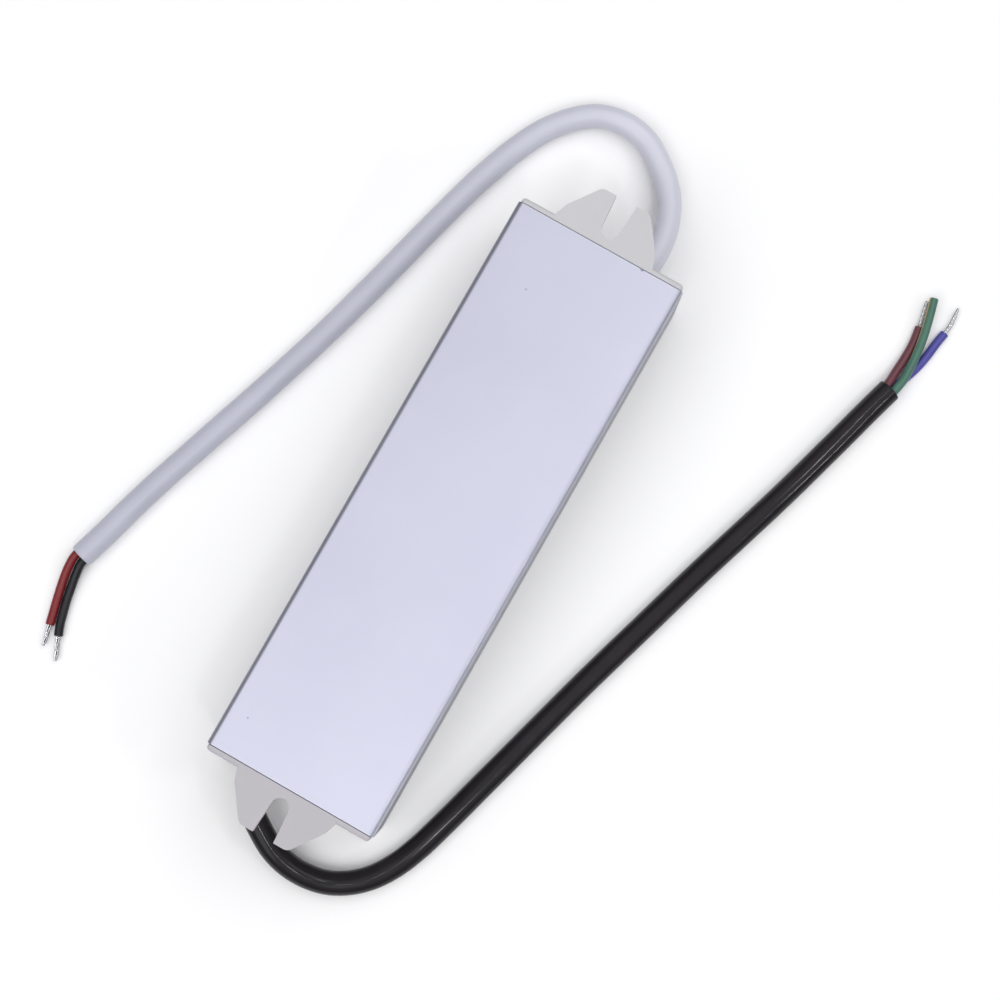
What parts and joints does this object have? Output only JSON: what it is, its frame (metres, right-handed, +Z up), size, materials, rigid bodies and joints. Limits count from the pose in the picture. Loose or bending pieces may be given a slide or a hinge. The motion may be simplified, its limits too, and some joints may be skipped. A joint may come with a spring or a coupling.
{
  "type": "waterproof power supply",
  "caption": "Slim potted power supply in an extruded aluminium case, with slotted mounting ears and a stripped cable at each end.",
  "frame": {"origin": "On the surface that the case lies on, below the middle of the case without its cables.", "axes": "+X runs along the case towards the output cable, +Z points up out of the mounting base, which lies up as in the picture, and +Y completes a right-handed frame, towards the side of the input cable's hole."},
  "size_m": [0.1956, 0.1538, 0.03],
  "materials": {
    "anodised_aluminium": "satin",
    "cap_plastic": "satin",
    "white_jacket": "satin",
    "black_jacket": "gloss",
    "red_insulation": "gloss",
    "black_insulation": "gloss",
    "brown_insulation": "gloss",
    "green_insulation": "gloss",
    "blue_insulation": "gloss",
    "tinned_copper": "bright",
    "nylon": "satin",
    "potting_resin": "satin",
    "insulating_film": "satin",
    "board_laminate": "matte",
    "solder": "bright",
    "ceramic_beige": "matte",
    "blue_epoxy": "gloss",
    "dark_green_epoxy": "gloss",
    "yellow_plastic": "gloss",
    "ferrite": "matte",
    "bobbin_plastic": "matte",
    "copper_wire": "gloss",
    "black_epoxy": "matte",
    "blue_sleeve": "gloss",
    "green_sleeve": "gloss",
    "bare_aluminium": "satin",
    "silicone_pad": "matte",
    "steel_screw": "satin",
    "yellow_tape": "satin",
    "white_epoxy": "matte"
  },
  "bodies": {
    "root": {"housing": "anodised_aluminium", "output_end_cap": "cap_plastic", "input_end_cap": "cap_plastic", "output_cable": "white_jacket", "red_core": "red_insulation", "black_core": "black_insulation", "red_strands": "tinned_copper", "black_strands": "tinned_copper", "input_cable": "black_jacket", "brown_core": "brown_insulation", "green_core": "green_insulation", "blue_core": "blue_insulation", "brown_strands": "tinned_copper", "blue_strands": "tinned_copper", "output_cable_tie": "nylon", "input_cable_tie": "nylon", "positive_lead": "red_insulation", "negative_lead": "black_insulation", "live_lead": "brown_insulation", "neutral_lead": "blue_insulation", "earth_lead": "green_insulation", "potting_compound": "potting_resin", "insulation_sheet": "insulating_film", "circuit_board": "board_laminate", "solder_joints": "solder", "fuse": "ceramic_beige", "varistor": "blue_epoxy", "thermistor": "dark_green_epoxy", "line_filter_capacitor": "yellow_plastic", "line_choke_core": "ferrite", "line_choke_bobbins": "bobbin_plastic", "line_choke_windings": "copper_wire", "bridge_rectifier": "black_epoxy", "bulk_capacitor": "blue_sleeve", "startup_resistors": "ceramic_beige", "snubber_diode": "black_epoxy", "switching_transistor": "black_epoxy", "primary_heat_spreader": "bare_aluminium", "primary_thermal_pad": "silicone_pad", "control_chip": "black_epoxy", "auxiliary_capacitor": "green_sleeve", "transformer_core_lower": "ferrite", "transformer_core_upper": "ferrite", "transformer_bobbin": "bobbin_plastic", "transformer_winding": "yellow_tape", "safety_capacitor": "blue_epoxy", "optocoupler": "white_epoxy", "output_rectifier": "black_epoxy", "secondary_heat_spreader": "bare_aluminium", "secondary_thermal_pad": "silicone_pad", "clamp_screws": "steel_screw", "output_capacitors": "green_sleeve", "output_choke_core": "ferrite", "output_choke_winding": "copper_wire"}
  },
  "joints": []
}
